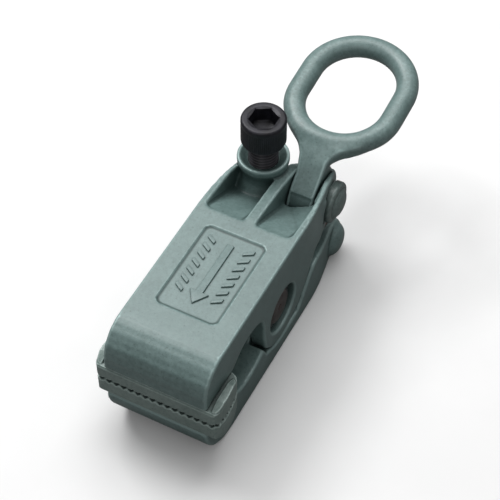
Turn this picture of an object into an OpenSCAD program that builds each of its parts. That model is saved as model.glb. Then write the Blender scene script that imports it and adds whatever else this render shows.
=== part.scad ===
// Pulling clamp for sheet metal and frame flanges: two hinged jaws with
// serrated grip plates, a cap screw that closes them and a swinging pull ring.
// +X points from the jaws to the pull ring, +Z is up, +Y is the screw's side.
// The nose is the front (-X) and the screw's side is the left (+Y).
// The origin is on the flat underside, straight below the main pivot.

/* [Body] */
// Width across the cast jaws
body_w = 57; // [54:0.5:60]
// Height of the closed clamp body
body_h = 71.5; // [71:0.1:72]
// Distance from the main pivot to the nose
nose_x = 83; // [82:0.5:84]
// Height of the main pivot above the underside
pivot_z = 33; // [32.8:0.1:33.2]
// Diameter of the main pivot pin
pivot_d = 20; // [18:0.5:21]
// Diameter of the counterbore round each end of the pivot pin
pivot_cbore_d = 28; // [27.6:0.2:29]
// Radius of the ears that carry the pivot pin
ear_r = 22.5; // [22:0.1:23]
// Half width of the slot between the ears
slot_hw = 19.5; // [19:0.25:20]

/* [Grip plates] */
// Height of the joint between the upper jaw and its grip plate
seat_u_z = 46.9; // [46.5:0.1:47.5]
// Height of the joint between the lower jaw and its grip plate
seat_l_z = 26.2; // [25.6:0.1:26.8]
// Height of the line where the teeth meet
grip_z = 37; // [36.8:0.1:37.2]
// Gap left between the tooth tips
grip_gap = 0.9; // [0.8:0.1:1.4]
// Tooth pitch across the jaw and along it
tooth_p = 4.1; // [3.6:0.1:4.6]
// Depth of the teeth
tooth_h = 1.6; // [1.2:0.1:1.8]

/* [Clamping screw] */
// Screw axis behind the pivot
screw_x = 57.4; // [57:0.1:57.8]
// Screw axis to the left of the middle
screw_y = 12.8; // [12.6:0.1:13]
// Nominal thread diameter
screw_d = 16; // [15.8:0.1:16]
// Diameter of the socket head
head_d = 24; // [23:0.25:24.5]
// Height of the socket head
head_h = 16; // [15:0.5:16.5]
// Height of the top of the head above the underside
head_top_z = 101.4; // [100:0.2:103]
// Width across the flats of the hexagon socket
hex_af = 14; // [12:0.5:14]
// Top of the threaded boss
boss_top_z = 74.5; // [74:0.5:76]

/* [Pull ring] */
// Ring hinge behind the pivot
ringpin_x = 65.5; // [65.2:0.1:65.8]
// Ring hinge height
ringpin_z = 48.3; // [48:0.1:48.6]
// Ring hinge pin diameter
ringpin_d = 14; // [13:0.5:14]
// Outer radius of the ring's hinge eye
eye_r = 16.2; // [15.8:0.1:16.4]
// Middle of the ring and its eye, across the clamp
ring_y = -10.9; // [-11.1:0.05:-10.8]
// Bar diameter of the ring
bar_d = 12.2; // [11.6:0.1:12.4]
// Radius of the ring's round ends, to the middle of the bar
ring_r = 27; // [26:0.25:28]
// Length of the ring's straight sides
ring_l = 15.7; // [14:0.1:17]
// Middle of the ring along the clamp
ring_cx = 114.4; // [114:0.1:116]
// Middle of the ring above the underside
ring_cz = 78.6; // [78.2:0.1:79]
// Upward tilt of the ring at rest, in degrees
ring_pitch = 6.1; // [5.6:0.1:6.6]

/* [Tail of the lower jaw] */
// Tail pin behind the pivot
tailpin_x = 70.3; // [70:0.1:70.6]
// Tail pin height
tailpin_z = 11.6; // [11.5:0.1:11.7]
// Tail pin diameter
tailpin_d = 9; // [8.5:0.25:9]
// Outer diameter of the roller on the tail pin
roller_d = 17; // [16:0.25:17]

/* [Hidden] */
$fn = 72;
eps = 0.01;
// y beyond both sides of the body, for cuts that go right across
far = 40;
// running clearance of pins and shafts, radial
run = 0.05;
half_w = body_w/2;

// sides of the middle web and inner face of the right cheek
web_right = -4.4;
web_left = 2;
cheek_y = -20;
// sides of the ring's eye and neck
shank_left = ring_y + 5.8;
shank_right = ring_y - 8.5;
// reach of the neck's front, and of the slot round it
front_r = 18;

cbore_depth = 5;
snap_ring_y = half_w - cbore_depth + 0.8;
pivot_bush_d = 24;
ring_bush_d = 18;
// seat of the ring pin's head on the right cheek
ringpin_seat_y = -23.1;
// set screws that lock the ring pin and the tail pin, across the clamp
ring_lock_y = (web_left + web_right)/2;
tail_lock_y = -1.1;

plate_screw_x = -70;
plate_screw_ys = [-15, 15];
// toothed faces of the grip plates
face_u_z = grip_z + grip_gap/2;
face_l_z = grip_z - grip_gap/2;

spring_x = -36;
spring_pocket_d = 13;
// floor of the lower spring pocket and roof of the upper one
spring_floor_z = 12;
spring_roof_z = 62;

// thrust pad under the screw's foot
pad_bore_d = 19;
pad_z = 6;
// plain point of the screw that turns in the foot
dog_d = 10;
dog_z = 15;
foot_groove_z = 18;
foot_groove_w = 1.2;

paint = [0.50, 0.58, 0.56];
black = [0.09, 0.09, 0.10];
steel = [0.45, 0.44, 0.44];
bronze = [0.65, 0.48, 0.25];

// ---------- helpers ----------
function arc(x, z, radius, start, end, steps) =
    [for (i = [0:steps]) let (a = start + (end - start)*i/steps)
        [x + radius*cos(a), z + radius*sin(a)]];
function reversed(list) = [for (i = [len(list) - 1:-1:0]) list[i]];

// outline drawn in x and z, filled from y0 to y1
module side(y0, y1)
    translate([0, y1, 0]) rotate([90, 0, 0]) linear_extrude(y1 - y0) children();
module across() side(-far, far) children();
// outline drawn in x and y, filled from z0 to z1
module plan(z0, z1) translate([0, 0, z0]) linear_extrude(z1 - z0) children();
// round bar along y
module ybar(x, z, d, y0, y1)
    translate([x, y0, z]) rotate([-90, 0, 0]) cylinder(d = d, h = y1 - y0);
module ybar_across(x, z, d) ybar(x, z, d, -far, far);
// round bar along z, its ends in either order
module zbar(x, y, d, z0, z1)
    translate([x, y, min(z0, z1)]) cylinder(d = d, h = abs(z1 - z0));
module at_screw(z) translate([screw_x, screw_y, z]) children();
// children built along z, turned to point right (-y) or to the rear (+x)
module to_right(x, y, z) translate([x, y, z]) rotate([90, 0, 0]) children();
module to_rear(x, y, z) translate([x, y, z]) rotate([0, 90, 0]) children();
// flat ring round z, centred
module collar(outer_d, inner_d, width) difference() {
    cylinder(d = outer_d, h = width, center = true);
    cylinder(d = inner_d, h = width + 1, center = true);
}

// ---------- outlines of the jaws ----------
// [x, how far the side is drawn in from the full half width]
taper_u = [
    [17, 0], [27, 0.2], [32, 0.5], [37, 0.9], [42, 1.5], [47, 2.2], [52, 3.1],
    [57, 4.0], [62, 4.9], [66, 5.4], [71, 6.4], [76, 8.0], [79, 9.5], [80.6, 11.4]];
taper_l = [
    [37, 0], [42, 0.4], [47, 0.8], [52, 1.6], [57, 2.4], [62, 3.3], [67, 4.2],
    [72, 5.0], [77, 6.4], [80, 7.8], [82.5, 9.8]];
nose_edge = [[-nose_x - 1, -half_w], [-nose_x - 1, half_w]];
function left_edge(taper) = [for (p = taper) [p[0], half_w - p[1]]];
function right_edge(taper) = [for (p = reversed(taper)) [p[0], -half_w + p[1]]];

module upper_plan() polygon(concat(
    nose_edge,
    left_edge([for (p = taper_u) if (p[0] < 63) p]),
    // the screw side ends in a curve round the threaded boss
    [[66.5, half_w - 6.6], [70, half_w - 9.6], [72.4, half_w - 13.6],
     [73.4, half_w - 18], [73.6, 1]],
    [[80.8, 1], [80.8, -half_w + 11.6]],
    right_edge(taper_u)));
module lower_plan() polygon(concat(nose_edge, left_edge(taper_l), right_edge(taper_l)));

// radius of the upper jaw round the ring pin
hinge_boss_r = 12.4;
// [x, depth below the top] along the falling back of the upper jaw
back_fall = [
    [17, 0], [27, 0.9], [37, 1.6], [42, 2.0], [47, 2.7],
    [52, 3.7], [57, 4.7], [62, 6], [67, 8]];
module upper_profile() polygon(concat(
    [[-nose_x, seat_u_z], [-nose_x + 0.1, 50]],
    arc(-nose_x + 17.5, body_h - 17, 17, 180, 90, 14),
    [for (p = back_fall) [p[0], body_h - p[1]]],
    arc(ringpin_x, ringpin_z, hinge_boss_r, 58, -90, 18),
    [[48, 35], [41, 36.6], [35, 32.5], [29.5, 27], [24, 21.6], [19.3, 16.4]],
    arc(0, pivot_z, ear_r, -52, -145, 16),
    // throat
    [[-20.6, 30], [-21, 40], [-22.4, 46.5], [-25.5, 50.3], [-31, 52.6], [-37, 53.4],
     [-42.6, 53.2], [-47.9, 51.3], [-52.1, 48.4], [-53.5, seat_u_z]]));
module lower_profile() polygon(concat(
    [[-53.5, seat_l_z], [-nose_x, seat_l_z], [-nose_x + 0.1, 22]],
    arc(-nose_x + 26, 26, 26, 194, 270, 14),
    arc(tailpin_x, tailpin_z, tailpin_z, -90, 62, 16),
    [[65.5, 24.4], [50, 27.2], [41, 28.2], [36.5, 27.4], [31.5, 22.8], [26.3, 17.4],
     [22.2, 12.6], [18.5, 9.4]],
    arc(0, pivot_z, ear_r + 1.3, -90, -128, 8),
    // throat
    [[-17, 14], [-21.5, 22.5], [-25, 21.2], [-31, 19.3], [-37, 18.6], [-42.6, 18.8],
     [-47.9, 20.6], [-51.6, 23.4]]));

// ---------- upper jaw ----------
// start and slope of the ramped pocket floor
ramp_x = 14;
ramp_slope = 0.503;
function ramp_z(x) = body_h - 0.6 - ramp_slope*(x - ramp_x);
// [x, y] of the pocket's outer wall, from the tail forward
pocket_wall = [
    [90, 16], [74, 14.4], [68, 18.2], [62, 20.8], [57, 21.8], [52, 22.8], [47, 23.6],
    [42, 24.1], [37, 24.3], [27, 24.4],
    [ramp_x + 3, 24.4], [ramp_x + 0.8, 23.6], [ramp_x, 21.5]];
// pockets between the middle web and the tapering side walls
module pocket_prisms(z0, z1) for (s = [1, -1]) {
    inner_y = s > 0 ? web_left : -web_right;
    plan(z0, z1) scale([1, s, 1])
        polygon(concat([[ramp_x, inner_y], [90, inner_y]], pocket_wall));
}

module upper_shell() difference() {
    intersection() {
        side(-half_w, half_w) upper_profile();
        plan(-5, 85) upper_plan();
    }
    // pockets that ramp down on both sides of the middle rib
    intersection() {
        pocket_prisms(20, 80);
        across() polygon([[ramp_x, 90], [ramp_x, ramp_z(ramp_x)], [100, ramp_z(100)], [100, 90]]);
    }
    // hollow underside of the tail, left and right of the middle web
    intersection() {
        across() polygon([[21, 0], [21, ramp_z(21) - 9], [90, ramp_z(90) - 9], [90, 0]]);
        pocket_prisms(0, 80);
    }
    // slot between the ears for the lower jaw's hub
    side(-slot_hw, slot_hw) union() {
        polygon([[-30, 0], [-30, 30], [-24, pivot_z + 13], [-14, pivot_z + 19.4],
                 [14, pivot_z + 19.4], [21.5, pivot_z + 17], [24, pivot_z + 12],
                 [60, 30], [60, 0]]);
        translate([0, pivot_z]) circle(r = 20.2);
    }
}

// middle rib and web, carrying the inner end of the ring pin
module upper_web() side(web_right, web_left) polygon(concat(
    [[ramp_x - 2, 60], [ramp_x - 2, body_h - 0.6], [ramp_x + 4, body_h - 1.2],
     [46, body_h - 5.6], [62, body_h - 8]],
    arc(ringpin_x, ringpin_z, hinge_boss_r, 60, -70, 12),
    [[60, 37], [40, 41], [30, 52]]));

// thick right cheek beside the ring's eye
module right_cheek() intersection() {
    plan(20, 80) upper_plan();
    difference() {
        side(-half_w, cheek_y) polygon(concat(
            [[46.2, 40], [46.2, body_h - 5.2], [56, body_h - 6.2], [64, body_h - 7]],
            arc(ringpin_x, ringpin_z, 16.4, 76, -34, 14),
            [[ringpin_x, 35.9], [50, 36]]));
        // its inner face opens out towards the pivot
        plan(20, 80) polygon([[40, cheek_y - 2.2], [46.2, cheek_y - 2.1], [64, cheek_y],
                              [64, 0], [40, 0]]);
    }
}

// floor of the right pocket rises to the cheek
module right_pocket_rise() intersection() {
    translate([46.3, -19.3, 59.2]) rotate([0, 26.2, 66.1])
        translate([-60, -60, -30]) cube([120, 120, 30]);
    side(-26, -6.9)
        polygon([[23.5, ramp_z(23.5) - 6], [23.5, 90], [55, 90], [55, ramp_z(55) - 6]]);
}

boss_d = 24;
boss_rim_d = 28;
// part of the upper jaw's plan behind x and to the left of y
module upper_plan_from(x, y) intersection() {
    upper_plan();
    translate([x, y]) square([60, 60]);
}
// threaded boss with a flared rim
module screw_boss() {
    zbar(screw_x, screw_y, boss_d, 34.6, boss_top_z - 1);
    at_screw(boss_top_z - 9) cylinder(d1 = boss_d, d2 = boss_rim_d, h = 5.5);
    zbar(screw_x, screw_y, boss_rim_d, boss_top_z - 3.5, boss_top_z);
    // skirt that spreads the boss into the floor of the pocket
    intersection() {
        at_screw(44) cylinder(d1 = 44, d2 = boss_d, h = 18);
        plan(0, 80) upper_plan_from(30, web_right);
        across() polygon([[38, ramp_z(38) - 8], [78, ramp_z(78) - 8], [78, 70], [38, 70]]);
    }
    // floor that ties the boss to the web and the left wall
    intersection() {
        plan(0, 80) upper_plan_from(40, web_left);
        across() polygon([[40, ramp_z(40)], [40, ramp_z(40) - 9], [66, 37], [76, 37],
                          [76, 47.5], [62, 47.5]]);
    }
}

// slot for the ring's eye, open to the rear and below
module eye_slot() {
    plan(0, 90) translate([60, cheek_y]) square([40, web_right - cheek_y]);
    ybar(ringpin_x, ringpin_z, 2*front_r + 1.8, cheek_y, web_right);
    side(cheek_y, web_right) polygon([[47.7, 56], [71.5, 90], [100, 90], [100, 56]]);
    side(cheek_y, web_right) translate([48, 20]) square([36, 20]);
}

// sunk panel on the top, a rectangle with round corners
panel_z = body_h - 0.9;
panel_x0 = -51.3;
panel_x1 = 4;
panel_hw = 17.3;
panel_r = 3.5;
module panel_plan() {
    translate([panel_x0 + panel_r, -panel_hw])
        square([panel_x1 - panel_x0 - 2*panel_r, 2*panel_hw]);
    translate([panel_x0, -panel_hw + panel_r])
        square([panel_x1 - panel_x0, 2*panel_hw - 2*panel_r]);
    for (x = [panel_x0 + panel_r, panel_x1 - panel_r], y = [-panel_hw + panel_r, panel_hw - panel_r])
        translate([x, y]) circle(r = panel_r);
}
// raised pull mark: an arrow between two rows of slanted bars
bar_pitch = 5.6;
module pull_mark() {
    polygon([[-44, 0], [-36, 5.4], [-36, 2], [-3, 2], [-3, -2], [-36, -2], [-36, -5.4]]);
    for (s = [-1, 1], i = [0:6]) scale([1, s]) translate([bar_pitch*i, 0])
        polygon([[-40, 8], [-37.6, 8], [-34.6, 13], [-37, 13]]);
}

module upper_jaw() color(paint) {
    difference() {
        union() {
            upper_shell();
            upper_web();
            right_cheek();
            right_pocket_rise();
            screw_boss();
        }
        eye_slot();
        plan(panel_z, panel_z + 5) panel_plan();
        // main pivot bore and its counterbores
        ybar_across(0, pivot_z, pivot_d);
        ybar(0, pivot_z, pivot_cbore_d, -far, -half_w + cbore_depth);
        ybar(0, pivot_z, pivot_cbore_d, half_w - cbore_depth, far);
        // ring pin bore, blind behind the web
        ybar(ringpin_x, ringpin_z, ringpin_d, -far, web_left + 1.2);
        // flat spot for the head of the ring pin
        ybar(ringpin_x, ringpin_z, 26, -far, ringpin_seat_y);
        // set screw hole that locks the ring pin
        to_rear(70, ring_lock_y, ringpin_z) cylinder(d = 5, h = 20);
        // clamping screw bore with a dished mouth
        zbar(screw_x, screw_y, screw_d + 2*run, 20, 90);
        at_screw(boss_top_z - 3) cylinder(d1 = screw_d + 2, d2 = 25.2, h = 3 + eps);
        // spring pocket in the roof of the throat
        zbar(spring_x, 0, spring_pocket_d, 40, spring_roof_z);
        // holes for the grip plate screws
        for (y = plate_screw_ys) zbar(plate_screw_x, y, 6, 40, 60);
    }
    plan(panel_z - eps, panel_z - eps + 0.6) pull_mark();
}

// ---------- grip plates ----------
// Both plates share these modules: up is 1 for the upper plate, -1 for the lower.
// [x, y] of the plate's left edge, from the nose back
plate_edge = [
    [-83, 31.4], [-82.6, 32.7], [-81.4, 33.7], [-79.8, 34.3], [-76.8, 34.8], [-73, 34.9],
    [-66.4, 34.4], [-61.5, 33.6], [-58.8, 32.6], [-57, 31], [-56.2, 29], [-56, 26]];
// [x, y] of the lip that overlaps the left side of the jaw
lip_edge = [
    [-81.6, 31.2], [-81, 33], [-79.6, 34], [-76.8, 34.6], [-73, 34.8], [-66.4, 34.3],
    [-61.8, 33.5], [-60, 32.2], [-59.6, 31], [-61, 30.6], [-80.6, 30.6]];
lip_h = 3.2;
module plate_plan()
    polygon(concat(plate_edge, [for (p = reversed(plate_edge)) [p[0], -p[1]]]));
module lip_plan() for (s = [1, -1]) scale([1, s, 1]) polygon(lip_edge);

module tooth_groove(length, up) linear_extrude(length)
    polygon([[-tooth_p/2 + 0.25, -up*eps], [tooth_p/2 - 0.25, -up*eps], [0, up*tooth_h]]);
// V grooves along x, then along y, shifted by a part of the pitch
module tooth_cuts(face_z, up, shift) {
    for (i = [-9:9]) translate([-nose_x - 1, (i + shift)*tooth_p, face_z])
        rotate([90, 0, 90]) tooth_groove(32, up);
    for (i = [0:6]) translate([-nose_x + 1.2 + (i + shift)*tooth_p, 40, face_z])
        rotate([90, 0, 0]) tooth_groove(80, up);
}

// bore_z: ends of the screw holes, beyond the teeth and beyond the seat
module grip_plate(up, face_z, seat_z, shift, bore_z) difference() {
    union() {
        plan(min(face_z, seat_z), max(face_z, seat_z)) plate_plan();
        intersection() {
            translate([0, 0, up > 0 ? seat_z - eps : seat_z - lip_h + eps])
                linear_extrude(lip_h) lip_plan();
            across() polygon([
                [-82.4, seat_z - up], [-82.4, seat_z], [-75.5, seat_z + up*lip_h],
                [-65, seat_z + up*lip_h], [-58, seat_z], [-58, seat_z - up]]);
        }
    }
    tooth_cuts(face_z, up, shift);
    // joint groove along the front
    translate([-nose_x - 1, -40, seat_z - (up > 0 ? 0.9 : 0.05)]) cube([1.7, 80, 0.95]);
    // counterbored holes that sink the screws below the teeth
    for (y = plate_screw_ys) {
        zbar(plate_screw_x, y, 6.4, bore_z[0], bore_z[1]);
        zbar(plate_screw_x, y, 11.6, bore_z[0], face_z + up*6);
    }
}
module upper_jaw_plate() color(paint*0.95) grip_plate(1, face_u_z, seat_u_z, 0, [30, 50]);
module lower_jaw_plate() color(paint*0.95) grip_plate(-1, face_l_z, seat_l_z, 0.5, [40, 20]);

// socket screws with their heads sunk below the toothed face
plate_screw_sink = 2.79;
module plate_screws(up, face_z) for (y = plate_screw_ys)
    translate([plate_screw_x, y, face_z + up*plate_screw_sink])
    mirror([0, 0, up > 0 ? 0 : 1]) difference() {
        union() {
            cylinder(d = 11, h = 3.2);
            cylinder(d = 5.9, h = 16);
        }
        translate([0, 0, -eps]) cylinder(d = 4.6, h = 2, $fn = 6);
    }
module upper_plate_screws() color(black) plate_screws(1, face_u_z);
module lower_plate_screws() color(black) plate_screws(-1, face_l_z);

// ---------- main pivot ----------
pin_half_l = half_w - 2.1;
pin_chamfer = 0.8;
module pivot_pin() color(steel) difference() {
    union() {
        ybar(0, pivot_z, pivot_d - 2*run, -pin_half_l + pin_chamfer, pin_half_l - pin_chamfer);
        for (s = [-1, 1])
            translate([0, s*(pin_half_l - pin_chamfer), pivot_z]) rotate([-90*s, 0, 0])
                cylinder(d1 = pivot_d - 2*run, d2 = pivot_d - 1.7, h = pin_chamfer);
    }
    for (s = [-1, 1]) {
        // snap ring groove just outside the ear's seat
        to_right(0, s*snap_ring_y, pivot_z) collar(30, 17.6, 1.3);
        // centre mark in the end
        translate([0, s*pin_half_l, pivot_z]) rotate([90*s, 0, 0])
            cylinder(d1 = 3.6, d2 = 0.6, h = 1.8);
    }
}
module pivot_snap_rings() color(steel*0.7) for (s = [-1, 1])
    to_right(0, s*snap_ring_y, pivot_z) difference() {
        collar(24.6, 17.8, 1.2);
        // gap between the ring's ends, at the top
        translate([0, 10, 0]) cube([3.4, 12, 3], center = true);
    }
module pivot_bush() color(bronze) difference() {
    ybar(0, pivot_z, pivot_bush_d, -slot_hw + 0.2, slot_hw - 0.2);
    ybar_across(0, pivot_z, pivot_d);
}

// ---------- opening spring: round wire wound on a helix ----------
coil_r = 4.9;
wire_d = 1.5;
spring_z0 = spring_floor_z + 0.2;
spring_z1 = spring_roof_z - 0.2;
coil_turns = 9;
// steps per turn, and sides of the wire's section
coil_steps = 20;
wire_sides = 8;
coil_rise = spring_z1 - spring_z0 - wire_d;
closed_pitch = 1.05*wire_d;
// height of the wire's middle: closed end coils, open pitch between them
function coil_z(turn) = spring_z0 + wire_d/2 + (
    turn < 1 ? turn*closed_pitch :
    turn > coil_turns - 1 ? coil_rise - (coil_turns - turn)*closed_pitch :
    closed_pitch + (turn - 1)/(coil_turns - 2)*(coil_rise - 2*closed_pitch));
module opening_spring() {
    last = coil_turns*coil_steps;
    // index of point j of section i
    function at(i, j) = i*wire_sides + j % wire_sides;
    points = [for (i = [0:last], j = [0:wire_sides - 1])
        let (a = 360*i/coil_steps, b = 360*j/wire_sides, r = coil_r + wire_d/2*cos(b))
        [r*cos(a), r*sin(a), coil_z(i/coil_steps) + wire_d/2*sin(b)]];
    faces = concat(
        [for (i = [0:last - 1], j = [0:wire_sides - 1]) [at(i + 1, j), at(i, j + 1), at(i, j)]],
        [for (i = [0:last - 1], j = [0:wire_sides - 1])
            [at(i + 1, j), at(i + 1, j + 1), at(i, j + 1)]],
        [[for (j = [0:wire_sides - 1]) at(0, j)]],
        [[for (j = [wire_sides - 1:-1:0]) at(last, j)]]);
    color(steel) translate([spring_x, 0, 0])
        polyhedron(points = points, faces = faces, convexity = 10);
}

// ---------- lower jaw ----------
hub_hw = slot_hw - 0.25;
// right side of the web in the hollow tail
well_y = web_right - 0.2;

// closed round boss over the right end of the tail pin
module tail_boss() {
    dome_r = 9.9;
    dome_h = 6.9;
    edge_h = 0.9;
    to_right(tailpin_x, -22.6, tailpin_z) rotate_extrude() polygon(concat(
        [[0, 0], [dome_r, 0]],
        [for (i = [1:14]) let (a = 90*i/14)
            [dome_r*pow(cos(a), 0.85), edge_h + (dome_h - edge_h)*sin(a)]],
        [[0, dome_h]]));
    intersection() {
        to_right(tailpin_x, -20.5, tailpin_z) cylinder(r1 = 14, r2 = 9.3, h = 4.2);
        across() lower_profile();
    }
}

// hollow tail: left well for the screw foot, right wells for the ring's heel
module tail_wells() {
    plan(9, 69) polygon([
        [26, web_left + 0.5], [26, 22], [37, 23.6], [47, 23.6], [57, 23.5], [61.5, 22.6],
        [66, 21], [74, 17.6], [77, 13], [77.4, web_left + 0.5]]);
    plan(4.6, 64.6) polygon([
        [38, well_y], [38, cheek_y - 2.4], [46, cheek_y - 1.8], [60, cheek_y],
        [100, cheek_y], [100, well_y]]);
    plan(9, 69) polygon([
        [26, well_y], [26, -22], [37, -22.4], [47, -21.4], [52, cheek_y - 1.5], [52, well_y]]);
    // clearance round the tail roller
    ybar(tailpin_x, tailpin_z, 19.5, cheek_y, well_y);
}

module lower_jaw() color(paint) difference() {
    union() {
        intersection() {
            side(-half_w, half_w) lower_profile();
            plan(0, 60) lower_plan();
        }
        // hub on the pivot
        ybar(0, pivot_z, 37, -hub_hw, hub_hw);
        tail_boss();
        // neck from the hub down into the body
        side(-hub_hw, hub_hw) polygon([
            [-22, 4], [-22, 21], [-17.8, 28], [-17.8, pivot_z + 3], [17.8, pivot_z + 3],
            [17.8, 24], [21, 16], [24, 9], [24, 4]]);
    }
    tail_wells();
    // pivot bush bore
    ybar_across(0, pivot_z, pivot_bush_d);
    // tail pin bore through the right cheek and the middle web
    ybar(tailpin_x, tailpin_z, tailpin_d, -24.6, web_left + 0.2);
    // hole for the set screw that locks the tail pin
    to_rear(tailpin_x + 3, tail_lock_y, tailpin_z) cylinder(d = 4, h = 20);
    // seat of the thrust pad
    zbar(screw_x, screw_y, pad_bore_d, pad_z, 20);
    zbar(spring_x, 0, spring_pocket_d, spring_floor_z, 40);
    // holes for the grip plate screws
    for (y = plate_screw_ys) zbar(plate_screw_x, y, 6, 14, 40);
}

// round pad with a chamfered top edge
module thrust_pad() color(steel*0.8) {
    pad_d = pad_bore_d - 2*run;
    edge_z = 11.4;
    zbar(screw_x, screw_y, pad_d, pad_z, edge_z);
    at_screw(edge_z) cylinder(d1 = pad_d, d2 = pad_d - 1.2, h = 0.6);
}

// ---------- ring pin, tail pin and roller ----------
pin_head_r = 11.6;
pin_head_edge_h = 3.2;
// [radius, height] of the head's crown, from its rounded edge to the middle
pin_head_crown = [[8.7, 4.9], [8.4, 5.3], [7.2, 6.4], [5.4, 7.15], [2.8, 7.6], [0, 7.7]];
module ring_pin() color(paint*0.9) difference() {
    union() {
        ybar(ringpin_x, ringpin_z, ringpin_d - 2*run, ringpin_seat_y - 0.1, web_left + 1);
        to_right(ringpin_x, ringpin_seat_y, ringpin_z) rotate_extrude() polygon(concat(
            [[0, 0], [pin_head_r, 0], [pin_head_r, pin_head_edge_h]],
            [for (i = [1:6])
                [pin_head_r - 2.2*(1 - cos(15*i)), pin_head_edge_h + 1.7*sin(15*i)]],
            pin_head_crown));
    }
    // locking groove for the set screw
    to_right(ringpin_x, ring_lock_y, ringpin_z) collar(20, 10.4, 5.2);
}
module tail_pin() color(steel) difference() {
    ybar(tailpin_x, tailpin_z, tailpin_d - 2*run, -24.3, web_left);
    // locking groove for the set screw
    to_right(tailpin_x, tail_lock_y, tailpin_z) collar(14, 6.6, 4.2);
}

set_screw_l = 6.4;
// socket set screw along x, point first
module set_screw(x, y, z, d) to_rear(x, y, z) difference() {
    point_h = d*0.25;
    union() {
        cylinder(d1 = d*0.5, d2 = d, h = point_h);
        translate([0, 0, point_h]) cylinder(d = d, h = set_screw_l - point_h);
    }
    translate([0, 0, set_screw_l - 2]) cylinder(d = d*0.55, h = 3, $fn = 6);
}
module ring_pin_set_screw()
    color(black) set_screw(ringpin_x + 5.3, ring_lock_y, ringpin_z, 4.9);
module tail_pin_set_screw()
    color(black) set_screw(tailpin_x + 3.4, tail_lock_y, tailpin_z, 3.9);

module tail_roller() color(steel) difference() {
    ybar(tailpin_x, tailpin_z, roller_d, shank_right + 0.1, shank_left - 0.1);
    ybar_across(tailpin_x, tailpin_z, tailpin_d);
}

// ---------- clamping screw ----------
tip_z = 22.5;
tip_chamfer = 1.5;
head_chamfer = 1.2;
module clamp_screw() color(black) difference() {
    union() {
        // socket head with a turned rim
        zbar(screw_x, screw_y, head_d, head_top_z - head_h, head_top_z - head_chamfer);
        at_screw(head_top_z - head_chamfer)
            cylinder(d1 = head_d, d2 = head_d - 2*head_chamfer, h = head_chamfer);
        // shank with a chamfered end
        zbar(screw_x, screw_y, screw_d, tip_z + tip_chamfer, head_top_z - head_h + 1);
        at_screw(tip_z) cylinder(d1 = screw_d - 2*tip_chamfer, d2 = screw_d, h = tip_chamfer);
        // dog point that turns in the foot
        zbar(screw_x, screw_y, dog_d, dog_z, tip_z + 1);
    }
    // hexagon socket with a conical bottom
    at_screw(head_top_z - 9) cylinder(d = hex_af/cos(30), h = 12, $fn = 6);
    at_screw(head_top_z - 10.6) cylinder(d1 = 2, d2 = hex_af - 0.4, h = 1.62);
    // groove for the snap ring
    at_screw(foot_groove_z + foot_groove_w/2) collar(14, 8.4, foot_groove_w);
}
// swivelling foot with a domed underside
module screw_foot() color(steel*0.85) difference() {
    dome_r = 40;
    intersection() {
        zbar(screw_x, screw_y, 19.6, 10, 21.6);
        at_screw(12.05 + dome_r) sphere(r = dome_r, $fn = 96);
    }
    zbar(screw_x, screw_y, dog_d + 2*run, dog_z - 0.2, 30);
    zbar(screw_x, screw_y, 12, foot_groove_z, foot_groove_z + foot_groove_w);
}
module foot_snap_ring() color(steel) at_screw(foot_groove_z + foot_groove_w/2) difference() {
    collar(11.9, 8.6, 1.1);
    // gap between the ring's ends
    translate([6, 0, 0]) cube([5, 1.6, 4], center = true);
}

// ---------- pull ring ----------
// a frame in the plane of the ring: x along it, y across it
module ring_frame()
    translate([ring_cx, ring_y, ring_cz]) rotate([0, -ring_pitch, 0]) children();

// [x, y] of the neck in the ring's frame: left side from its front end back,
// then right side from the ring forward
neck_left = [
    [-56, 5.8], [-52, 6.6], [-49.6, 7.3], [-46, 8.4], [-43, 10.2], [-40, 12.4],
    [-37.5, 15.2], [-35.1, 18.4], [-33, 20.8], [-30, 22.5]];
neck_right = [
    [-30, -22.5], [-33, -21.3], [-35.1, -19.5], [-38, -16], [-40.6, -13.2],
    [-43, -11.2], [-45.5, -9.2], [-48.3, -8.6], [-56, -8.5]];

module oval_bar() ring_frame() for (s = [-1, 1]) {
    // round end
    translate([s*ring_l/2, 0, 0]) intersection() {
        rotate_extrude($fn = 96) translate([ring_r, 0]) circle(d = bar_d, $fn = 40);
        translate([s > 0 ? 0 : -60, -60, -30]) cube([60, 120, 60]);
    }
    // straight side
    to_rear(-ring_l/2 - eps, s*ring_r, 0) cylinder(d = bar_d, h = ring_l + 2*eps, $fn = 40);
}

// gusset and neck, with a sloping top and a steeper front face
module ring_neck() intersection() {
    ring_frame() translate([-37, 0, 5]) rotate([0, 26.9, 170.1])
        translate([-60, -60, -60]) cube([120, 120, 60]);
    across() polygon([[41.1, 51.9], [81.1, 85.9], [120, 118.9], [120, 40], [41.1, 40]]);
    union() {
        ring_frame() plan(-4.4, 4.4) difference() {
            polygon(concat(neck_left, [[-20, 20], [-20, -20]], neck_right));
            translate([-ring_l/2, 0]) circle(r = ring_r - 1);
        }
        side(shank_right, shank_left) polygon([
            [51.6, 52], [51.6, 66], [66, 80], [72, 76], [72.6, 66.6], [75.4, 61.6],
            [76.6, 58], [72, 52]]);
    }
}

// eye with its front and its heel
module ring_eye() side(shank_right, shank_left) union() {
    translate([ringpin_x, ringpin_z]) circle(r = eye_r);
    intersection() {
        translate([ringpin_x, ringpin_z]) circle(r = front_r);
        polygon([[40, 44], [40, 70], [62, 70], [62, 44]]);
    }
    // heel, pointing down and to the rear
    translate([ringpin_x, ringpin_z]) rotate(-42.5) union() {
        polygon([[0, -14.4], [19, -5.2], [19, 5.2], [0, 15.8]]);
        translate([18.6, 0]) circle(r = 5.4);
    }
}

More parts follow.
